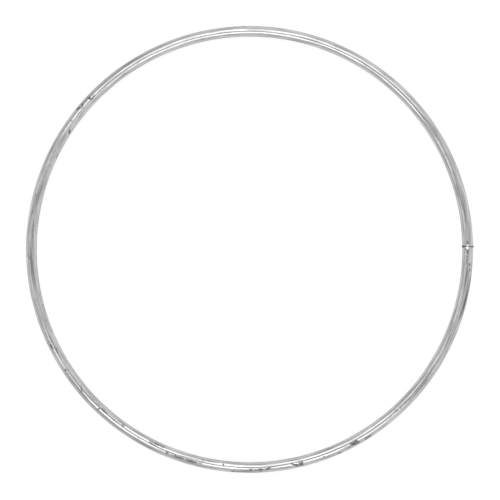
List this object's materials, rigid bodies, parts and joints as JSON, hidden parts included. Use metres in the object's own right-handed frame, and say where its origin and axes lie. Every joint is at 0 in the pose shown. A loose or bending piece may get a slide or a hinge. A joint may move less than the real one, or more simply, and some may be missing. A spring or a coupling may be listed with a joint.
{
  "type": "wreath frame",
  "caption": "Plain round wreath frame: a single zinc-plated steel wire bent to a circle and butt-welded, used as the base that foliage is bound or knotted onto.",
  "frame": {"origin": "on the ring's own axis, in the plane that the ring lies on: the lowest point of the weld is at Z = 0", "axes": "+Z along the ring's axis, up out of the surface it lies on; +X from the centre through the weld; +Y in the plane of the ring"},
  "size_m": [0.1262, 0.126, 0.0032],
  "materials": {
    "zinc_wire": "bright zinc plate over drawn steel wire: satin with fine lengthwise drawing lines, a faint mottle, and dark scuffs and nicks from tumbling",
    "weld_metal": "plated-over weld metal, rougher and darker in the seam"
  },
  "bodies": {
    "root": {"wire_ring": "zinc_wire", "weld_nugget": "weld_metal", "weld_flash": "weld_metal"}
  },
  "joints": []
}
